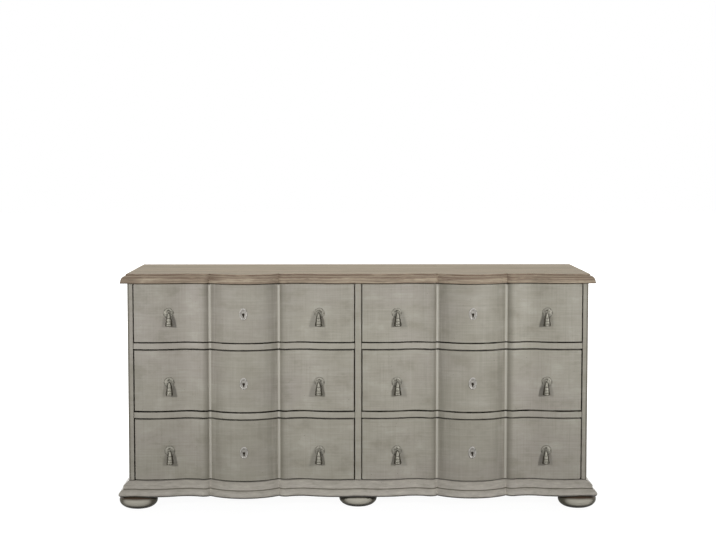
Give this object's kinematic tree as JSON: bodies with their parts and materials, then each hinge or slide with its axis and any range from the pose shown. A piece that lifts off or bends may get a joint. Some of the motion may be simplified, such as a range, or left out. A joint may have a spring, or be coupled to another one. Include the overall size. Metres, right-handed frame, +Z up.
{
  "type": "dresser",
  "caption": "Wide serpentine-front dresser with drawers in two columns, moulded wooden top and base, bun feet, drop pulls and oval escutcheons.",
  "frame": {"origin": "on the floor, under the middle of the dresser's bounding box", "axes": "+X to the right along the front as seen from the front, +Y towards the back, +Z up"},
  "size_m": [1.81, 0.598, 0.89],
  "materials": {
    "grey_paint": "warm grey painted wood, brushed and rubbed",
    "oak_top": "weathered oak, waxed",
    "raw_wood": "plain sanded softwood",
    "aged_pewter": "aged, brushed pewter"
  },
  "bodies": {
    "case": {"top_panel": "oak_top", "left_side_panel": "grey_paint", "right_side_panel": "grey_paint", "back_panel": "raw_wood", "bottom_panel": "raw_wood", "centre_partition": "raw_wood", "corner_stiles": "grey_paint", "centre_stile": "grey_paint", "upper_left_rail": "grey_paint", "upper_right_rail": "grey_paint", "lower_left_rail": "grey_paint", "lower_right_rail": "grey_paint", "front_base_moulding": "grey_paint", "side_base_mouldings": "grey_paint", "back_base_rail": "raw_wood", "bun_feet": "grey_paint", "drawer_runners": "raw_wood", "drawer_stops": "raw_wood"},
    "top_left_drawer": {"top_left_drawer_front": "grey_paint", "top_left_drawer_sides": "raw_wood", "top_left_drawer_back": "raw_wood", "top_left_drawer_bottom": "raw_wood", "top_left_drawer_plates": "aged_pewter"},
    "top_left_drawer_left_pull": {"top_left_drawer_left_pull": "aged_pewter"},
    "top_left_drawer_right_pull": {"top_left_drawer_right_pull": "aged_pewter"},
    "top_right_drawer": {"top_right_drawer_front": "grey_paint", "top_right_drawer_sides": "raw_wood", "top_right_drawer_back": "raw_wood", "top_right_drawer_bottom": "raw_wood", "top_right_drawer_plates": "aged_pewter"},
    "top_right_drawer_left_pull": {"top_right_drawer_left_pull": "aged_pewter"},
    "top_right_drawer_right_pull": {"top_right_drawer_right_pull": "aged_pewter"},
    "middle_left_drawer": {"middle_left_drawer_front": "grey_paint", "middle_left_drawer_sides": "raw_wood", "middle_left_drawer_back": "raw_wood", "middle_left_drawer_bottom": "raw_wood", "middle_left_drawer_plates": "aged_pewter"},
    "middle_left_drawer_left_pull": {"middle_left_drawer_left_pull": "aged_pewter"},
    "middle_left_drawer_right_pull": {"middle_left_drawer_right_pull": "aged_pewter"},
    "middle_right_drawer": {"middle_right_drawer_front": "grey_paint", "middle_right_drawer_sides": "raw_wood", "middle_right_drawer_back": "raw_wood", "middle_right_drawer_bottom": "raw_wood", "middle_right_drawer_plates": "aged_pewter"},
    "middle_right_drawer_left_pull": {"middle_right_drawer_left_pull": "aged_pewter"},
    "middle_right_drawer_right_pull": {"middle_right_drawer_right_pull": "aged_pewter"},
    "bottom_left_drawer": {"bottom_left_drawer_front": "grey_paint", "bottom_left_drawer_sides": "raw_wood", "bottom_left_drawer_back": "raw_wood", "bottom_left_drawer_bottom": "raw_wood", "bottom_left_drawer_plates": "aged_pewter"},
    "bottom_left_drawer_left_pull": {"bottom_left_drawer_left_pull": "aged_pewter"},
    "bottom_left_drawer_right_pull": {"bottom_left_drawer_right_pull": "aged_pewter"},
    "bottom_right_drawer": {"bottom_right_drawer_front": "grey_paint", "bottom_right_drawer_sides": "raw_wood", "bottom_right_drawer_back": "raw_wood", "bottom_right_drawer_bottom": "raw_wood", "bottom_right_drawer_plates": "aged_pewter"},
    "bottom_right_drawer_left_pull": {"bottom_right_drawer_left_pull": "aged_pewter"},
    "bottom_right_drawer_right_pull": {"bottom_right_drawer_right_pull": "aged_pewter"}
  },
  "joints": [
    {"name": "top_left_drawer_slide", "type": "slide", "parent": "case", "child": "top_left_drawer", "axis": [0, -1, 0], "range_m": [0, 0.36]},
    {"name": "top_left_drawer_left_pull_swing", "type": "hinge", "parent": "top_left_drawer", "child": "top_left_drawer_left_pull", "pos_m": [-0.70793, -0.24191, 0.7495], "axis": [-0.9775, -0.2109, 0], "range_deg": [0, 100]},
    {"name": "top_left_drawer_right_pull_swing", "type": "hinge", "parent": "top_left_drawer", "child": "top_left_drawer_right_pull", "pos_m": [-0.14847, -0.24191, 0.7495], "axis": [-0.9775, 0.2109, 0], "range_deg": [0, 100]},
    {"name": "top_right_drawer_slide", "type": "slide", "parent": "case", "child": "top_right_drawer", "axis": [0, -1, 0], "range_m": [0, 0.36]},
    {"name": "top_right_drawer_left_pull_swing", "type": "hinge", "parent": "top_right_drawer", "child": "top_right_drawer_left_pull", "pos_m": [0.14847, -0.24191, 0.7495], "axis": [-0.9775, -0.2109, 0], "range_deg": [0, 100]},
    {"name": "top_right_drawer_right_pull_swing", "type": "hinge", "parent": "top_right_drawer", "child": "top_right_drawer_right_pull", "pos_m": [0.70793, -0.24191, 0.7495], "axis": [-0.9775, 0.2109, 0], "range_deg": [0, 100]},
    {"name": "middle_left_drawer_slide", "type": "slide", "parent": "case", "child": "middle_left_drawer", "axis": [0, -1, 0], "range_m": [0, 0.36]},
    {"name": "middle_left_drawer_left_pull_swing", "type": "hinge", "parent": "middle_left_drawer", "child": "middle_left_drawer_left_pull", "pos_m": [-0.70793, -0.24191, 0.4885], "axis": [-0.9775, -0.2109, 0], "range_deg": [0, 100]},
    {"name": "middle_left_drawer_right_pull_swing", "type": "hinge", "parent": "middle_left_drawer", "child": "middle_left_drawer_right_pull", "pos_m": [-0.14847, -0.24191, 0.4885], "axis": [-0.9775, 0.2109, 0], "range_deg": [0, 100]},
    {"name": "middle_right_drawer_slide", "type": "slide", "parent": "case", "child": "middle_right_drawer", "axis": [0, -1, 0], "range_m": [0, 0.36]},
    {"name": "middle_right_drawer_left_pull_swing", "type": "hinge", "parent": "middle_right_drawer", "child": "middle_right_drawer_left_pull", "pos_m": [0.14847, -0.24191, 0.4885], "axis": [-0.9775, -0.2109, 0], "range_deg": [0, 100]},
    {"name": "middle_right_drawer_right_pull_swing", "type": "hinge", "parent": "middle_right_drawer", "child": "middle_right_drawer_right_pull", "pos_m": [0.70793, -0.24191, 0.4885], "axis": [-0.9775, 0.2109, 0], "range_deg": [0, 100]},
    {"name": "bottom_left_drawer_slide", "type": "slide", "parent": "case", "child": "bottom_left_drawer", "axis": [0, -1, 0], "range_m": [0, 0.36]},
    {"name": "bottom_left_drawer_left_pull_swing", "type": "hinge", "parent": "bottom_left_drawer", "child": "bottom_left_drawer_left_pull", "pos_m": [-0.70793, -0.24191, 0.2275], "axis": [-0.9775, -0.2109, 0], "range_deg": [0, 100]},
    {"name": "bottom_left_drawer_right_pull_swing", "type": "hinge", "parent": "bottom_left_drawer", "child": "bottom_left_drawer_right_pull", "pos_m": [-0.14847, -0.24191, 0.2275], "axis": [-0.9775, 0.2109, 0], "range_deg": [0, 100]},
    {"name": "bottom_right_drawer_slide", "type": "slide", "parent": "case", "child": "bottom_right_drawer", "axis": [0, -1, 0], "range_m": [0, 0.36]},
    {"name": "bottom_right_drawer_left_pull_swing", "type": "hinge", "parent": "bottom_right_drawer", "child": "bottom_right_drawer_left_pull", "pos_m": [0.14847, -0.24191, 0.2275], "axis": [-0.9775, -0.2109, 0], "range_deg": [0, 100]},
    {"name": "bottom_right_drawer_right_pull_swing", "type": "hinge", "parent": "bottom_right_drawer", "child": "bottom_right_drawer_right_pull", "pos_m": [0.70793, -0.24191, 0.2275], "axis": [-0.9775, 0.2109, 0], "range_deg": [0, 100]}
  ]
}
